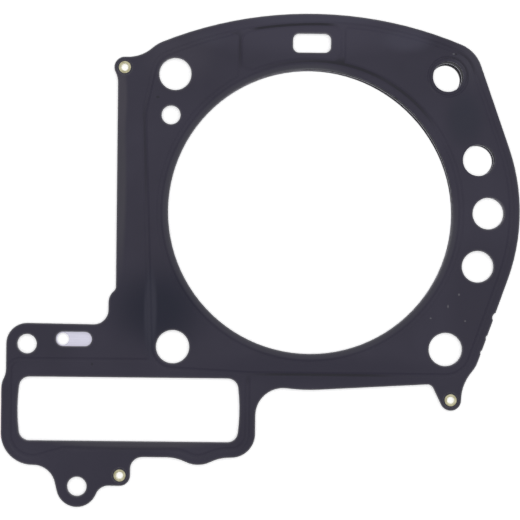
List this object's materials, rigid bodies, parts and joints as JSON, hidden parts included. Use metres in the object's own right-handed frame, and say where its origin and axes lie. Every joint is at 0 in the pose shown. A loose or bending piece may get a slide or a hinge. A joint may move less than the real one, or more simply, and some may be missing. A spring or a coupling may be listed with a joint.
{
  "type": "cylinder head gasket",
  "caption": "Flat cylinder head gasket of layered coated steel with formed beads, a large bore, coolant and stud holes, a chain tunnel window and ears with hollow rivets.",
  "frame": {"origin": "axis of the cylinder bore, in the gasket's lower face", "axes": "+Z out of the upper face along the cylinder's axis, +X towards the row of coolant holes (the gasket's longest extent), +Y towards the coolant slot, away from the chain tunnel"},
  "size_m": [0.186, 0.1783, 0.0011],
  "materials": {
    "coated_sheet": "thin dark grey rubber coating on spring steel, satin",
    "core_steel": "bare cold-rolled stainless steel",
    "eyelet_brass": "plain pale brass, slightly dull"
  },
  "bodies": {
    "root": {"top_layer": "coated_sheet", "middle_layer": "core_steel", "bottom_layer": "coated_sheet", "rivet_upper_left": "eyelet_brass", "rivet_lower_left": "eyelet_brass", "rivet_lower_right": "eyelet_brass"}
  },
  "joints": []
}
